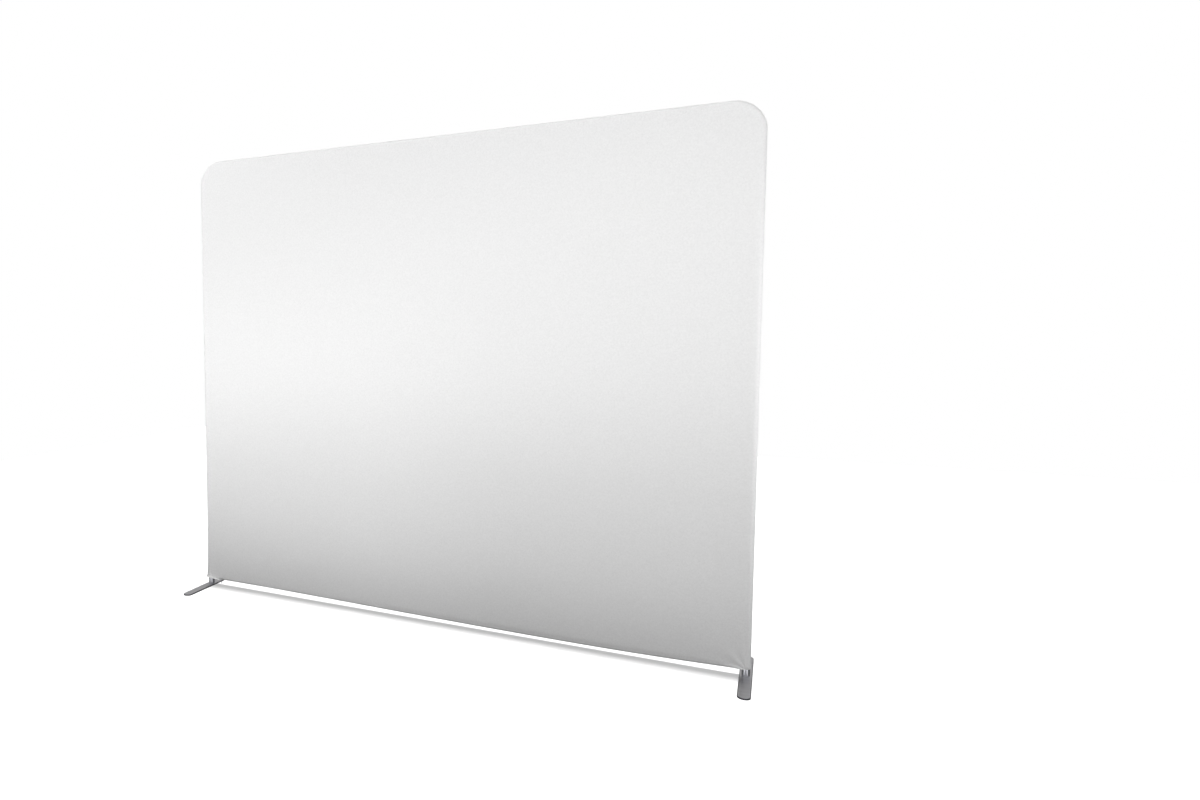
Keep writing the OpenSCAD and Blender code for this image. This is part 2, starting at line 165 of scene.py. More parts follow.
def rounded_slab(name, outline, z0, z1, bevel):
    """A flat plate with this outline and softened edges."""
    n = len(outline)
    verts = [(x, y, z0) for x, y in outline] + [(x, y, z1) for x, y in outline]
    faces = [tuple(reversed(range(n))), tuple(range(n, 2 * n))]
    faces += [(i, (i + 1) % n, n + (i + 1) % n, n + i) for i in range(n)]
    obj = new_object(name, verts, faces)
    mod = obj.modifiers.new("edges", "BEVEL")
    mod.width, mod.segments, mod.limit_method = bevel, 3, "ANGLE"
    apply_modifiers(obj)
    return obj


def join(objects, name):
    bpy.ops.object.select_all(action="DESELECT")
    for obj in objects:
        obj.select_set(True)
    bpy.context.view_layer.objects.active = objects[0]
    bpy.ops.object.join()
    objects[0].name = name
    return objects[0]


# ------------------------------------------------------------------ materials
def new_material(name, color, roughness, metallic=0.0):
    mat = bpy.data.materials.new(name)
    mat.use_nodes = True
    bsdf = mat.node_tree.nodes["Principled BSDF"]
    bsdf.inputs["Base Color"].default_value = (*color, 1)
    bsdf.inputs["Roughness"].default_value = roughness
    bsdf.inputs["Metallic"].default_value = metallic
    return mat, mat.node_tree, bsdf


def add(tree, kind, **settings):
    """A new node. Each setting is one of its inputs, or else one of its properties."""
    node = tree.nodes.new(kind)
    for key, value in settings.items():
        if key in node.inputs:
            node.inputs[key].default_value = value
        else:
            setattr(node, key, value)
    return node


def placed(tree, scale=(1, 1, 1)):
    """Object coordinates, stretched by scale."""
    coords = add(tree, "ShaderNodeTexCoord")
    mapping = add(tree, "ShaderNodeMapping")
    mapping.inputs["Scale"].default_value = scale
    tree.links.new(coords.outputs["Object"], mapping.inputs["Vector"])
    return mapping.outputs["Vector"]


def axes_of(tree, vector):
    """A vector's X, Y and Z."""
    node = add(tree, "ShaderNodeSeparateXYZ")
    tree.links.new(vector, node.inputs[0])
    return node.outputs


def noise(tree, vector, scale, detail, rough):
    node = add(tree, "ShaderNodeTexNoise", Scale=scale, Detail=detail, Roughness=rough)
    tree.links.new(vector, node.inputs["Vector"])
    return node.outputs["Fac"]


def bands(tree, vector, direction, scale, distortion):
    node = add(tree, "ShaderNodeTexWave", wave_type="BANDS", bands_direction=direction,
               Scale=scale, Distortion=distortion)
    tree.links.new(vector, node.inputs["Vector"])
    return node.outputs["Fac"]


def math_node(tree, operation, a, b=0.0):
    node = add(tree, "ShaderNodeMath", operation=operation)
    for socket, value in zip(node.inputs, (a, b)):
        if isinstance(value, (int, float)):
            socket.default_value = value
        else:
            tree.links.new(value, socket)
    return node.outputs[0]


def total(tree, a, b):
    return math_node(tree, "ADD", a, b)


def times(tree, a, b):
    return math_node(tree, "MULTIPLY", a, b)


def distance(tree, a, b=0.0):
    """How far a lies from b, on one axis."""
    return math_node(tree, "ABSOLUTE", math_node(tree, "SUBTRACT", a, b))


def ramp(tree, fac, stops):
    node = add(tree, "ShaderNodeValToRGB")
    while len(node.color_ramp.elements) < len(stops):
        node.color_ramp.elements.new(0.5)
    for element, (position, color) in zip(node.color_ramp.elements, stops):
        element.position = position
        element.color = (*color, 1)
    tree.links.new(fac, node.inputs["Fac"])
    return node.outputs["Color"]


def grey(v):
    return (v, v, v)


def tone(tree, bsdf, fac, stops):
    """Colour a material by a ramp."""
    tree.links.new(ramp(tree, fac, stops), bsdf.inputs["Base Color"])


def bump(tree, height, bsdf, strength, depth):
    node = add(tree, "ShaderNodeBump", Strength=strength, Distance=depth)
    tree.links.new(height, node.inputs["Height"])
    tree.links.new(node.outputs["Normal"], bsdf.inputs["Normal"])


def darken(tree, level, dark):
    """Let a material's colour go to dark where level is 0."""
    color = tree.nodes["Principled BSDF"].inputs["Base Color"]
    mix = add(tree, "ShaderNodeMix", data_type="RGBA")
    mix.inputs["A"].default_value = (*dark, 1)
    tree.links.new(level, mix.inputs["Factor"])
    tree.links.new(color.links[0].from_socket, mix.inputs["B"])
    tree.links.new(mix.outputs["Result"], color)


def knit_material(name, level, sheen):
    """Fine warp knit: wales up the wall, courses across it, and a soft mottled tone."""
    mat, tree, bsdf = new_material(name, grey(level), roughness=0.9)
    bsdf.inputs["Sheen Weight"].default_value = sheen
    bsdf.inputs["Sheen Roughness"].default_value = 0.5
    bsdf.inputs["Specular IOR Level"].default_value = 0.2
    here = placed(tree)
    wales = bands(tree, here, "X", scale=320.0, distortion=1.5)
    courses = bands(tree, here, "Z", scale=260.0, distortion=2.0)
    grain = noise(tree, here, scale=420.0, detail=3.0, rough=0.7)
    fine = noise(tree, here, scale=130.0, detail=2.0, rough=0.6)
    height = total(tree, times(tree, times(tree, wales, courses), 0.5), grain)
    bump(tree, total(tree, height, fine), bsdf, strength=0.35, depth=0.0004)
    mottle = total(tree, times(tree, grain, 0.5), times(tree, fine, 0.5))
    low, high = level - 0.075, min(1.0, level + 0.045)
    tone(tree, bsdf, mottle, [(0.3, grey(low)), (0.7, grey(high))])
    return mat


def tape_material(name, level):
    """Woven tape: a fine twill of slanting ribs."""
    mat, tree, bsdf = new_material(name, grey(level), roughness=0.85)
    bsdf.inputs["Sheen Weight"].default_value = 0.2
    here = placed(tree)
    twill = bands(tree, here, "DIAGONAL", scale=300.0, distortion=0.6)
    grain = noise(tree, here, scale=600.0, detail=2.0, rough=0.6)
    mix = total(tree, times(tree, twill, 0.6), times(tree, grain, 0.4))
    tone(tree, bsdf, mix, [(0.2, grey(level - 0.08)), (0.8, grey(level + 0.04))])
    bump(tree, mix, bsdf, strength=0.5, depth=0.0003)
    return mat


def metal_material(name, color, roughness, spread, stretch=(1, 1, 1), scuffs=0.1):
    """Drawn or brushed metal: fine lines along one axis, with a few dull scuffs."""
    mat, tree, bsdf = new_material(name, color, roughness, metallic=1.0)
    lines = noise(tree, placed(tree, stretch), scale=60.0, detail=4.0, rough=0.65)
    marks = noise(tree, placed(tree), scale=9.0, detail=6.0, rough=0.7)
    low = tuple(max(0.0, c - spread) for c in color)
    high = tuple(min(1.0, c + spread) for c in color)
    tone(tree, bsdf, lines, [(0.3, low), (0.7, high)])
    dull = times(tree, ramp(tree, marks, [(0.55, grey(0)), (0.75, grey(1))]), scuffs)
    rough = total(tree, times(tree, lines, 0.16), roughness - 0.08)
    tree.links.new(total(tree, rough, dull), bsdf.inputs["Roughness"])
    bump(tree, lines, bsdf, strength=0.12, depth=0.0003)
    return mat


def tube_material(name, stretch, axis, joints):
    """Drawn aluminium tube, with painted shade: a dark line where one tube meets the next, for the
    shadow in the hairline gap there.
    """
    mat = metal_material(name, (0.68, 0.69, 0.73), 0.24, 0.04, stretch)
    tree = mat.node_tree
    along = math_node(tree, "ABSOLUTE", axes_of(tree, placed(tree))[axis])
    away = 1.0
    for joint in joints:
        away = math_node(tree, "MINIMUM", distance(tree, along, joint), away)
    if joints:
        # Painted shade: within half a millimetre of a joint the colour goes dark, for the shade in
        # the gap between the tubes.
        millimetres = times(tree, away, 1000.0)
        painted_gap_shade = ramp(tree, millimetres, [(0.15, grey(0)), (0.5, grey(1))])
        darken(tree, painted_gap_shade, (0.03, 0.03, 0.035))
    return mat


def plate_material(name):
    """Satin steel plate, brushed across, with painted shade: its upright cut sides and the
    outermost rim of its top are darkened in the colour.
    """
    mat = metal_material(name, (0.55, 0.545, 0.56), 0.38, 0.05, ACROSS, scuffs=0.16)
    tree = mat.node_tree
    geometry = add(tree, "ShaderNodeNewGeometry")
    facing_up = math_node(tree, "ABSOLUTE", axes_of(tree, geometry.outputs["Normal"])["Z"])
    # Painted shade: faces turned away from up, the plate's cut sides, get a dark colour.
    level = ramp(tree, facing_up, [(0.3, grey(0)), (0.6, grey(1))])
    # How near the rim of the foot a point is: 0 on its middle line, 1 at its outline.
    spot = axes_of(tree, placed(tree))
    past_x = math_node(tree, "SUBTRACT", distance(tree, spot["X"]), POST_X)
    past_y = math_node(tree, "SUBTRACT", distance(tree, spot["Y"]), FOOT_LEN / 2 - FOOT_W / 2)
    past_y = math_node(tree, "MAXIMUM", past_y, 0.0)
    squares = [math_node(tree, "POWER", past, 2.0) for past in (past_x, past_y)]
    reach = math_node(tree, "SQRT", total(tree, *squares))
    rim_share = math_node(tree, "DIVIDE", reach, FOOT_W / 2)
    # Painted shade: the outermost rim of the top is darkened as well.
    rim = ramp(tree, rim_share, [(0.86, grey(1)), (0.92, grey(0.25))])
    darken(tree, times(tree, level, rim), (0.035, 0.035, 0.045))
    return mat


def plastic_material(name, color, roughness):
    """Moulded plastic with a faint grain."""
    mat, tree, bsdf = new_material(name, color, roughness)
    here = placed(tree)
    grain = noise(tree, here, scale=900.0, detail=3.0, rough=0.6)
    clouds = noise(tree, here, scale=60.0, detail=2.0, rough=0.5)
    low = tuple(c * 0.9 for c in color)
    high = tuple(min(1.0, c * 1.06) for c in color)
    tone(tree, bsdf, clouds, [(0.3, low), (0.7, high)])
    bump(tree, grain, bsdf, strength=0.15, depth=0.0002)
    return mat


# How far the drawing lines of a metal run out along an axis: a small number makes them long.
ALONG_X = (0.02, 1, 1)
ALONG_Z = (1, 1, 0.02)
ACROSS = (0.05, 1, 0.3)
MATS = {
    "cover_fabric": knit_material("cover_fabric", 0.90, 0.35),
    "hem_tape": tape_material("hem_tape", 0.86),
    "rail_aluminium": tube_material("rail_aluminium", ALONG_X, "X", RAIL_JOINTS),
    "post_aluminium": tube_material("post_aluminium", ALONG_Z, "Z", POST_JOINTS),
    "bar_aluminium": tube_material("bar_aluminium", ALONG_Z, "Z", ()),
    "tube_aluminium": metal_material("weld_aluminium", (0.56, 0.57, 0.60), 0.45, 0.10, scuffs=0.3),
    "sleeve_aluminium": metal_material("sleeve_aluminium", (0.70, 0.71, 0.73), 0.42, 0.05),
    "rivet_blued": metal_material("rivet_blued", (0.05, 0.07, 0.15), 0.45, 0.02),
    "spring_steel": metal_material("spring_steel", (0.40, 0.41, 0.43), 0.3, 0.05),
    "button_steel": metal_material("button_steel", (0.33, 0.35, 0.40), 0.3, 0.05),
    "screw_steel": metal_material("screw_steel", (0.16, 0.16, 0.17), 0.45, 0.03),
    "foot_steel": plate_material("foot_steel"),
    "plug_nylon": plastic_material("plug_nylon", (0.78, 0.78, 0.80), 0.5),
    "zip_teeth": plastic_material("zip_teeth", (0.80, 0.80, 0.80), 0.4),
    "zip_metal": metal_material("zip_metal", (0.66, 0.66, 0.68), 0.28, 0.05),
}


def paint(obj, mat):
    obj.data.materials.clear()
    obj.data.materials.append(mat)


def dress_cad_nodes():
    """Paint the CAD parts. A tube's lines run along it, so rails, bar and posts differ."""
    slots = {part["node"]: part["material_slot"] for part in frame["record"]["subparts"]}
    for name, obj in NODES.items():
        slot = slots[name]
        if slot == "tube_aluminium":
            slot = next((word for word in ("rail", "bar") if word in name), "post") + "_aluminium"
        if slot in MATS:
            paint(obj, MATS[slot])


def mount(obj, body, slot, *nodes):
    """Paint a piece, let it ride on a body, and let it stand for CAD nodes."""
    paint(obj, MATS[slot])
    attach(obj, body)
    if nodes:
        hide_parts(*nodes)
    return obj


# ------------------------------------------------------------------ lie of the cloth
def low_line(x, cut):
    """Height of a panel's lower edge at x."""
    if cut and x < -POST_X + CUT_W:
        t = (x + POST_X) / CUT_W
        return (COVER_LOW + CUT_H) * (1 - t) + low_line(-POST_X + CUT_W, False) * t
    left = x < HEM_LOW_X
    part = (x - HEM_LOW_X) / ((-POST_X if left else POST_X) - HEM_LOW_X)
    return COVER_LOW - HEM_DROP * max(0.0, 1 - part**2) ** HEM_SHAPE[0 if left else 1]


def top_line(x):
    """Height at which a panel's flat part ends at x."""
    over = abs(x) - BEND_X
    return BEND_Z + (TOP_Z - BEND_Z if over <= 0 else math.sqrt(max(0.0, BEND_R**2 - over**2)))


def past_post(x, width):
    """0 beside a post, 1 from there a width further in."""
    return min(1.0, max(0.0, (POST_X - BESIDE_POST - abs(x)) / width))


def lean_in(x, z):
    """How far the knit is drawn in under the bottom rail. The posts hold it out at the ends."""
    low = low_line(x, False)
    start = min(LEAN_UP, RAIL_Z - low)
    below = min(start, max(0.0, start - (z - low)))
    return past_post(x, 0.07) * LEAN * below**2 / (2 * start)


def corner_pull(x, z):
    """Small folds that run out of the lower corners, where the stretched knit is held."""
    out = 0.0
    for side, size in FOLD_SIZES.items():
        dx, dz = (POST_X - side * x), z - COVER_LOW
        reach = math.hypot(dx, dz)
        if reach > 0.5:
            continue
        angle = math.atan2(dz, max(dx, 1e-6))
        fade = math.exp(-reach / 0.07) * min(1.0, reach / 0.02)
        out += size * fade * (0.5 + 0.5 * math.sin(9 * angle + 0.8 + side))
    return out


def drape(x, z):
    """How far the knit lies out from its plane at x, z."""
    return corner_pull(x, z) - lean_in(x, z)


def loose(nx, z):
    """How far the knit stands off the left post at its cut lower corner, facing nx."""
    return LOOSE * max(0.0, -nx) * math.exp(-max(0.0, z - COVER_LOW - CUT_H) / LOOSE_UP)


# ------------------------------------------------------------------ cover
def panel_columns():
    """x of a panel's columns: close together round the bends, even between them."""
    side = [BEND_X + BEND_R * math.cos(math.radians(a)) for a in steps(0, 90, 22)]
    return [-x for x in side] + steps(-BEND_X, BEND_X, 110)[1:-1] + side[::-1]


def panel_rows():
    """Heights of a panel's rows, as shares: close together near the hem."""
    return [0.16 * (i / 30) ** 1.3 for i in range(30)] + steps(0.16, 1.0, 70)


def cover_side(name, side, cut):
    """The panel on one side, and its half of the edge that turns round the tubes to the seam."""
    xs, rows = panel_columns(), panel_rows()
    verts, faces = [], []

    def add_point(x, z, nx=0.0, nz=0.0, turn=0.0):
        y = (FAB_MID + drape(x, z)) * math.cos(turn)
        reach = FAB_MID + loose(nx, z)
        verts.append((x + nx * reach * math.sin(turn), side * y, z + nz * FAB_MID * math.sin(turn)))
        return len(verts) - 1

    grid = []
    for x in xs:
        low, high = low_line(x, cut) + FOLD, top_line(x)
        grid.append([add_point(x, low + (high - low) * row) for row in rows])
    for a, b in zip(grid, grid[1:]):
        for j in range(len(rows) - 1):
            faces.append((a[j], b[j], b[j + 1], a[j + 1]))
    # The rim: up the left post, along the top, and down the right post.
    rim = [(xs[0], verts[i][2], -1.0, 0.0, i) for i in grid[0][:-1]]
    for x, column in zip(xs, grid):
        nx = math.copysign(max(0.0, abs(x) - BEND_X) / BEND_R, x)
        rim.append((x, verts[column[-1]][2], nx, math.sqrt(max(0.0, 1 - nx * nx)), column[-1]))
    rim += [(xs[-1], verts[i][2], 1.0, 0.0, i) for i in reversed(grid[-1][:-1])]
    previous = [point[4] for point in rim]
    for turn in steps(0, math.pi / 2, 8)[1:]:
        ring = [add_point(x, z, nx, nz, turn) for x, z, nx, nz, _ in rim]
        for i in range(len(ring) - 1):
            faces.append((previous[i], previous[i + 1], ring[i + 1], ring[i]))
        previous = ring
    if side > 0:
        faces = [tuple(reversed(face)) for face in faces]
    obj = new_object(name, verts, faces)
    thicken(obj, FAB_T)
    return obj


def edge_stations(side, cut, xs, wraps):
    """Along the lower edge: x of the tube's centre, the outward normal, and the height."""
    line = [(x, 0.0, side, low_line(x, cut)) for x in xs]
    quarter = steps(0, math.pi / 2, 8)[1:]
    for end in wraps:
        x = xs[-1] if end > 0 else xs[0]
        arc = [(x, end * math.sin(a), side * math.cos(a), low_line(x, cut)) for a in quarter]
        line = line + arc if end > 0 else arc[::-1] + line
    return line


def edge_fold(name, stations, shape):
    """A strip of knit folded along stations. Each shape point is (distance out, height)."""
    sections = []
    for x, nx, ny, z in stations:
        section = []
        for out, dz in shape(x):
            out += drape(x, z + dz) * abs(ny)
            section.append((x + nx * (out + loose(nx, z + dz)), ny * out, z + dz))
        sections.append(section)
    if stations[0][2] > 0 or stations[-1][2] > 0:
        sections.reverse()
    obj = sweep(name, sections)
    thicken(obj, 0.0005)
    return obj


def hem_shape(x):
    """The hem rolls under, except beside the posts, which fill that space."""
    roll = past_post(x, 0.03)
    outer = [(0.0176, 0.013), (0.0176, 0.009), (0.0176, 0.006), (0.0175, 0.0045)]
    under = [(0.0174, 0.0009, 0.0028), (0.0172, 0.0020, 0.0014), (0.0169, 0.0034, 0.0005),
             (0.0167, 0.0041, 0.0009), (0.0167, 0.0038, 0.0028)]
    return outer + [(out - roll * depth, dz) for out, depth, dz in under]


def facing_shape(x):
    """The facing of the cut corner: a welt, a groove, and a strip that stands out to its lip."""
    wide = 0.014 - 0.0115 * min(1.0, max(0.0, (x + POST_X) / CUT_W))
    welt = [(0.0173, 0.0070), (0.0184, 0.0052), (0.0192, 0.0030), (0.0190, 0.0012),
            (0.0180, 0.0002)]
    strip = [(0.0171, -0.06), (0.0170, -0.18), (0.0184, -0.32), (0.0207, -0.58), (0.0233, -0.86),
             (0.0241, -0.96), (0.0238, -1.04), (0.0227, -1.06), (0.0213, -0.96)]
    return welt + [(out, share * wide) for out, share in strip]


def turned_hem(name, side, cut):
    """The lower edge of a panel, folded in over its own raw edge, round to the side seams."""
    xs = [x for x in panel_columns() if not cut or x > -POST_X + CUT_W - 0.005]
    return edge_fold(name, edge_stations(side, cut, xs, (1,) if cut else (-1, 1)), hem_shape)


def corner_facing(name):
    """The faced edge of the cut corner, from the left seam round the post and down to the hem."""
    xs = steps(-POST_X, -POST_X + CUT_W, 24)
    return edge_fold(name, edge_stations(-1, True, xs, (-1,)), facing_shape)


def stitch_row(name, side, cut, height, first, last):
    """A row of lockstitches along a panel's lower edge: short threads that dip into the cloth."""
    pitch, half_len, half_wide, proud = 0.0036, 0.0014, 0.0003, 0.0003
    along = ((-1, 0.0), (-0.5, 1.0), (0.5, 1.0), (1, 0.0))
    across = ((-1, 0.0), (0, 1.0), (1, 0.0))
    cloth = 0.0178
    verts, faces = [], []
    x = first
    while x < last:
        z = low_line(x, cut) + height
        here = cloth + drape(x, z)
        base = len(verts)
        for k, lift in along:
            for w, crown in across:
                y = here + proud * lift * (0.4 + 0.6 * crown)
                verts.append((x + k * half_len, side * y, z + w * half_wide))
        for i in range(len(along) - 1):
            for k in range(len(across) - 1):
                j = base + len(across) * i + k
                faces.append((j, j + 3, j + 4, j + 1) if side < 0 else (j, j + 1, j + 4, j + 3))
        x += pitch
    return new_object(name, verts, faces)


def edge_seam(name):
    """The overlocked seam that joins the two shells, all the way round the outside of the tubes."""
    line = [(-POST_X, z, -1.0, 0.0) for z in steps(0.066, BEND_Z, 120)[:-1]]
    for side, first, last in ((-1, 180, 90), (1, 90, 0)):
        for a in steps(first, last, 24):
            c, s = math.cos(math.radians(a)), math.sin(math.radians(a))
            line.append((side * BEND_X + BEND_R * c, BEND_Z + BEND_R * s, c, s))
        if side < 0:
            line += [(x, TOP_Z, 0.0, 1.0) for x in steps(-BEND_X, BEND_X, 150)[1:-1]]
    line += [(POST_X, z, 1.0, 0.0) for z in steps(BEND_Z, COVER_LOW + 0.002, 120)[1:]]
    shape = [(0.0021 * math.cos(a), 0.0008 * math.sin(a)) for a in steps(0, math.pi, 8)]
    base = FAB_IN + FAB_T - 0.0002
    sections = []
    for x, z, nx, nz in line:
        reach = base + loose(nx, z)
        sections.append([(x + nx * (reach + h), y, z + nz * (base + h)) for y, h in shape])
    obj = sweep(name, sections)
    obj.data.flip_normals()
    return obj


# ------------------------------------------------------------------ zip
def zip_strip(name, side):
    """One side of the zip's tape, sewn to the panel, with a ridge beside the teeth."""
    edge, edge_dz = FAB_IN + 0.0002, 0.0002
    shape = [(0.0125, 0.0), (0.0085, -0.0001), (0.0055, 0.0), (0.0040, 0.0006), (0.0033, 0.0005),
             (0.0026, 0.0)]
    sections = []
    for x in steps(-HEM_HALF, HEM_HALF, 180):
        ripple = 0.00015 * math.sin(x * 61) + 0.0001 * math.sin(x * 173 + side)
        row = [(x, side * (edge + drape(x, HEM_Z)), HEM_Z + edge_dz)]
        for y, dz in shape:
            row.append((x, side * y, HEM_Z + dz + ripple * (1 if 0.003 < y < 0.014 else 0)))
        sections.append(row)
    if side < 0:
        sections.reverse()
    obj = sweep(name, sections)
    thicken(obj, 0.0006)
    return obj


def zip_coil(name):
    """Two interlocked rows of coil teeth along the middle of the tape."""
    pitch, corners = 0.0022, 6
    # Along a tooth: y, and half its width and its height there.
    tooth = ((-0.0011, 0.0006, 0.0006), (-0.0004, 0.0009, 0.0009), (0.0022, 0.0006, 0.0008),
             (0.0029, 0.0004, 0.0005))
    verts, faces = [], []
    for i in range(int(2 * HEM_HALF / pitch)):
        side = -1 if i % 2 else 1
        x = -HEM_HALF + (i + 0.5) * pitch
        base = len(verts)
        for y, half_x, half_z in tooth:
            for a in range(corners):
                angle = math.radians(360 / corners * a)
                dx, dz = half_x * math.cos(angle), half_z * math.sin(angle)
                verts.append((x + dx, side * y, HEM_Z + dz))
        for ring in range(len(tooth) - 1):
            for a in range(corners):
                p, q = (base + ring * corners + k % corners for k in (a, a + 1))
                face = (p, p + corners, q + corners, q)
                faces.append(face if side > 0 else (p, q, q + corners, p + corners))
        ends = tuple(range(base, base + corners)), tuple(range(len(verts) - corners, len(verts)))
        faces += [ends[0], ends[1][::-1]] if side > 0 else [ends[0][::-1], ends[1]]
    return new_object(name, verts, faces)


def zip_slider(name):
    """Shield-shaped slider body with two side flanges and an arched lug for the pull."""
    half = [(0.0060, 0.0034), (0.0048, 0.0045), (0.0010, 0.0045), (-0.0030, 0.0036),
            (-0.0060, 0.0026)]
    outline = [(SLIDER_X + x, -y) for x, y in half[::-1]] + [(SLIDER_X + x, y) for x, y in half]
    parts = [rounded_slab("slider_plate", outline, 0.0360, 0.0372, 0.0003)]
    flange = [(-0.004, 0.0034), (0.0050, 0.0042), (0.0050, 0.0034), (-0.004, 0.0027)]
    for side in (-1, 1):
        rim = [(SLIDER_X + x, side * y) for x, y in flange[::-side]]
        parts.append(rounded_slab("slider_rim", rim, 0.0368, 0.0377, 0.0002))
    arch = [(SLIDER_X + 0.0030 * math.cos(a), PULL_Z + 0.0018 - 0.0034 * math.sin(a))
            for a in steps(0, math.pi, 14)]
    sections = []
    for i, (x, z) in enumerate(arch):
        before, after = arch[max(0, i - 1)], arch[min(len(arch) - 1, i + 1)]
        tx, tz = after[0] - before[0], after[1] - before[1]
        size = math.hypot(tx, tz)
        nx, nz = -tz / size, tx / size
        sections.append([
            (x + nx * 0.0006 * math.cos(b), 0.0010 * math.sin(b), z + nz * 0.0006 * math.cos(b))
            for b in circle(10)
        ])
    parts.append(sweep("slider_lug", sections, closed=True))
    return join(parts, name)


def drill(obj, place, radius):
    """Drill a hole along X through a piece."""
    mesh = bpy.data.meshes.new("hole")
    cutter = bmesh.new()
    bmesh.ops.create_cone(cutter, cap_ends=True, segments=24, radius1=radius, radius2=radius,
                          depth=0.01)
    cutter.to_mesh(mesh)
    cutter.free()
    mesh.transform(Matrix.Translation(place) @ Matrix.Rotation(math.pi / 2, 4, "Y"))
    hole = bpy.data.objects.new("hole", mesh)
    bpy.context.scene.collection.objects.link(hole)
    mod = obj.modifiers.new("hole", "BOOLEAN")
    mod.object, mod.operation, mod.solver = hole, "DIFFERENCE", "EXACT"
    apply_modifiers(obj)
    bpy.data.objects.remove(hole)


def rod(name, a, b, radius, overrun):
    """A round rod from a to b, running on a little at both ends."""
    along = (b - a).normalized()
    side = along.orthogonal().normalized()
    up = along.cross(side)
    ring = [(side * math.cos(c) + up * math.sin(c)) * radius for c in circle(10)]
    sections = [[tuple(p + r) for r in ring] for p in (a - along * overrun, b + along * overrun)]
    return sweep(name, sections, closed=True)


def zip_pull(name):
    """Tapered pull tab with a thumb hole, on a wire that goes through the slider's lug."""
    top, bottom = PULL_Z - 0.0043, PULL_Z - 0.0240
    half, taper_end = [], 0.85
    for t in steps(0, 1, 18):
        if t < taper_end:
            y = 0.0021 + 0.0011 * t
        else:
            round_off = ((t - taper_end) / (1 - taper_end)) ** 2
            y = 0.0030 * math.sqrt(max(0.02, 1 - round_off)) + 0.0001
        half.append((y, top + (bottom - top) * t))
    outline = half + [(-y, z) for y, z in reversed(half)]
    slab = rounded_slab("pull_tab", outline, -0.0005, 0.0005, 0.0002)
    slab.data.transform(Matrix(((0, 0, 1, SLIDER_X), (1, 0, 0, 0), (0, 1, 0, 0), (0, 0, 0, 1))))
    drill(slab, (SLIDER_X, 0, bottom + 0.0042), 0.0014)
    bends = [(-0.0020, top + 0.0004), (-0.0020, PULL_Z), (0.0020, PULL_Z), (0.0020, top + 0.0004)]
    points = [Vector((SLIDER_X, y, z)) for y, z in bends]
    wires = [rod("pull_wire", a, b, 0.0006, 0.0003) for a, b in zip(points, points[1:])]
    return join([slab, *wires], name)


def make_cover():
    """The dressed cover: two shells, their seam, the turned hems with stitching, and the zip."""
    for word, side, cut, nodes in (
        ("front", -1, True,
         ("cover_front", "cover_edge_left", "cover_edge_right", "cover_edge_top")),
        ("back", 1, False, ("cover_back",)),
    ):
        shell = mount(cover_side("cover_shell_" + word, side, cut), "cover", "cover_fabric", *nodes)
        trim = [mount(turned_hem("turned_hem_" + word, side, cut), "cover", "cover_fabric")]
        first, last = -POST_X + ((CUT_W if cut else 0.0) + 0.004), POST_X - 0.004
        for i, height in enumerate((0.0085, 0.0115)):
            row = stitch_row(f"hem_stitch_{word}_{i}", side, cut, height, first, last)
            trim.append(mount(row, "cover", "cover_fabric"))
        if cut:
            trim.append(mount(corner_facing("corner_facing"), "cover", "cover_fabric"))
        strip = mount(zip_strip("zip_tape_" + word, side), "cover", "hem_tape", "cover_hem_" + word)
    mount(edge_seam("edge_seam"), "cover", "cover_fabric")
    mount(zip_coil("zip_coil"), "cover", "zip_teeth", "zip_chain")
    mount(zip_slider("zip_slider_body"), "slider", "zip_metal", "zip_slider")
    mount(zip_pull("zip_pull_tab"), "pull", "zip_metal", "zip_pull")


# ------------------------------------------------------------------ frame
def weld_bead(name, side):
    """The weld between a lower corner's post and its rail, where the cover leaves it room."""
    pieces = []
    for start in (-46, 134):
        sections = []
        for i, turn in enumerate(steps(start, start + 92, 60)):
            t = math.radians(turn)
            cos, sin = math.cos(t), math.sin(t)
            x = POST_X - TUBE_R * abs(cos)
            spot = Vector((side * x, TUBE_R * sin, RAIL_Z + TUBE_R * cos))
            size = 0.0013 + 0.0003 * math.sin(i * 1.9) * math.cos(i * 0.7)
            bevel = Vector((-side * 0.7, 0.0, 0.7 * math.copysign(1.0, cos)))
            along = Vector((side * 0.5 * sin, cos, 0.0)).normalized()
            wide = bevel.cross(along).normalized()
            sections.append([
                tuple(spot + wide * (1.5 * size * math.cos(b)) + bevel * (size * math.sin(b)))
                for b in circle(10)
            ])
        pieces.append(sweep("bead", sections, closed=True))
    return join(pieces, name)


def make_welds():
    for word, side in (("left", -1), ("right", 1)):
        mount(weld_bead("weld_bead_" + word, side), "frame", "tube_aluminium")


# ------------------------------------------------------------------ stage
def light_group(name, state, *objects):
    """A collection that a light is linked to: it lights, or leaves out, these objects."""
    group = bpy.data.collections.new(name)
    for obj in objects:
        group.objects.link(obj)
    for entry in group.collection_objects:
        entry.light_linking.link_state = state
    return group


def make_floor():
    """A plain white floor that takes the wall's soft shadow."""
    half = 6
    corners = [(-half, -half, 0), (half, -half, 0), (half, half, 0), (-half, half, 0)]
    floor = new_object("floor", corners, [(0, 1, 2, 3)], smooth=False)
    mat, _, bsdf = new_material("floor", grey(0.93), roughness=0.9)
    bsdf.inputs["Specular IOR Level"].default_value = 0.0
    paint(floor, mat)
    floor.visible_diffuse = False
    floor.visible_glossy = False
    return floor


def area_light(name, spot, aim, size, power, lights, spread=180):
    data = bpy.data.lights.new(name, "AREA")
    data.shape = "RECTANGLE"
    data.spread = math.radians(spread)
    data.size, data.size_y = size
    data.energy = power
    lamp = bpy.data.objects.new(name, data)
    lamp.location = spot
    lamp.rotation_euler = (Vector(aim) - Vector(spot)).to_track_quat("-Z", "Y").to_euler()
    lamp.visible_camera = False
    lamp.visible_glossy = False
    lamp.light_linking.receiver_collection = lights
    bpy.context.scene.collection.objects.link(lamp)


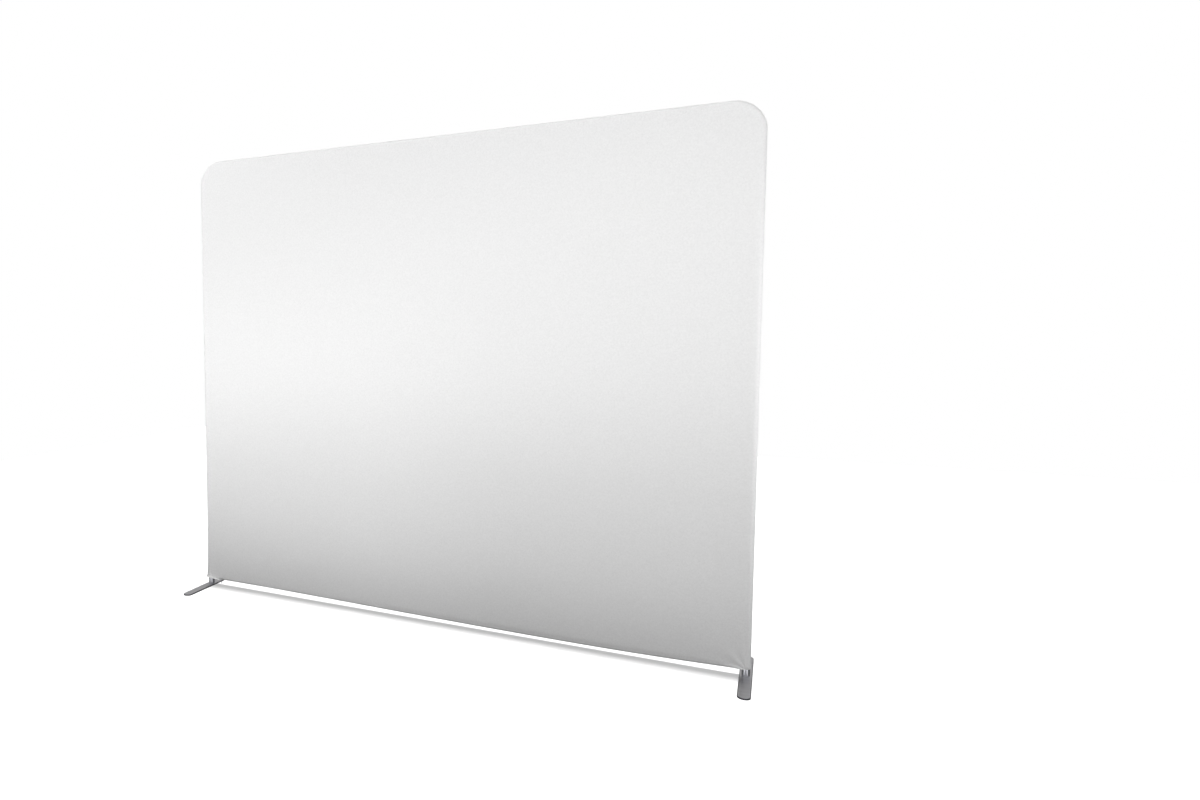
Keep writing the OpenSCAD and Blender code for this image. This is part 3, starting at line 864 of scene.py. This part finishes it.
def sun_light(name, power, tilt, spread, lights, shaded_by=None):
    """A sun overhead, tilted by some degrees towards the front or the back."""
    data = bpy.data.lights.new(name, "SUN")
    data.energy = power
    data.angle = math.radians(spread)
    lamp = bpy.data.objects.new(name, data)
    lamp.location = (0, 0, 5)
    lamp.rotation_euler.x = math.radians(tilt)
    lamp.light_linking.receiver_collection = lights
    if shaded_by is not None:
        lamp.light_linking.blocker_collection = shaded_by
    bpy.context.scene.collection.objects.link(lamp)


def make_world():
    """White to the camera. Cloth gets a dim light from it, and metal mirrors a pale ceiling."""
    world = bpy.data.worlds.new("studio")
    world.use_nodes = True
    bpy.context.scene.world = world
    tree = world.node_tree
    coords = add(tree, "ShaderNodeTexCoord")
    axes = axes_of(tree, coords.outputs["Generated"])
    up = total(tree, times(tree, axes["Z"], 0.5), 0.5)
    front = times(tree, axes["Y"], -1.0)
    ahead = ramp(tree, front, [(0.42, grey(0.08)), (0.62, grey(1.0))])
    below = times(tree, ramp(tree, up, [(0.38, grey(1.0)), (0.5, grey(0.0))]), ahead)
    above = ramp(tree, up, [(0.5, grey(0.05)), (0.62, (0.40, 0.43, 0.47)), (0.7, grey(0.52)),
                            (0.9, grey(1.0))])
    dim = ramp(tree, up, [(0.30, grey(0.03)), (0.50, grey(0.08)), (0.85, grey(0.35))])
    path = add(tree, "ShaderNodeLightPath")
    last = None
    for look, rays in ((dim, None), (total(tree, above, below), "Is Glossy Ray"),
                       (grey(1.0), "Is Camera Ray")):
        shade = add(tree, "ShaderNodeBackground", Strength=1.0)
        if isinstance(look, tuple):
            shade.inputs["Color"].default_value = (*look, 1)
        else:
            tree.links.new(look, shade.inputs["Color"])
        if last is None:
            last = shade.outputs[0]
            continue
        mix = add(tree, "ShaderNodeMixShader")
        for i, output in enumerate((path.outputs[rays], last, shade.outputs[0])):
            tree.links.new(output, mix.inputs[i])
        last = mix.outputs[0]
    tree.links.new(last, tree.nodes["World Output"].inputs["Surface"])
    bpy.context.scene.view_settings.view_transform = "Standard"


def make_lights(floor):
    """Soft boxes that light the part only, and two suns that light the floor only."""
    part = light_group("lights_part", "EXCLUDE", floor)
    ground = light_group("lights_floor", "INCLUDE", floor)
    # Two rows of boxes in front of the wall: height, distance, spread, and watts from the left.
    rows = ((0.33, 1.36, 50, (0.25, 0.57, 0.41, 0.26)), (1.03, 1.66, 73, (2.95, 2.17, 1.38, 0.95)))
    for i, (z, away, spread, powers) in enumerate(rows):
        for k, power in enumerate(powers):
            x = 1.6 * k - 2.4
            area_light(f"front_{i}_{k}", (x, -away, z), (x, 0.0, z), (1.6, 0.4), power, part,
                       spread)
    # Single boxes in front: x, distance, height, size, watts and spread.
    for name, x, away, z, size, power, spread in (
        ("front_wide", 0.15, 1.84, 2.11, (6.4, 0.4), 64.5, 180),
        ("front_corner", -2.2, 1.6, 3.0, (1.6, 0.4), 3.5, 100),
        ("front_high", 0.0, 1.8, 4.2, (6.4, 0.4), 22, 90),
    ):
        area_light(name, (x, -away, z), (x, 0.0, z), size, power, part, spread)
    for i, z in enumerate((1.2, 2.2, 4.4)):
        area_light(f"rear_{i}", (0.0, 1.8, z), (0.0, 0.0, z), (5.0, 0.5), 26, part)
    for side, z, power, spread in ((-1, 1.9, 1.3, 100), (1, 1.3, 8.4, 120)):
        area_light(f"side_{side}", (side * 3.2, 0.05, z), (0.0, 0.05, z), (0.1, 1.0), power, part,
                   spread)
    area_light("above", (0.0, 0.03, 5.4), (0.0, 0.03, 0.0), (3.0, 0.2), 18, part)
    sun_light("ceiling", 2.6, -1.1, 2.4, ground)
    sun_light("floor_fill", 1.15, 0.0, 1.4, ground, shaded_by=ground)


make_camera()
dress_cad_nodes()
make_welds()
make_cover()
make_world()
make_lights(make_floor())
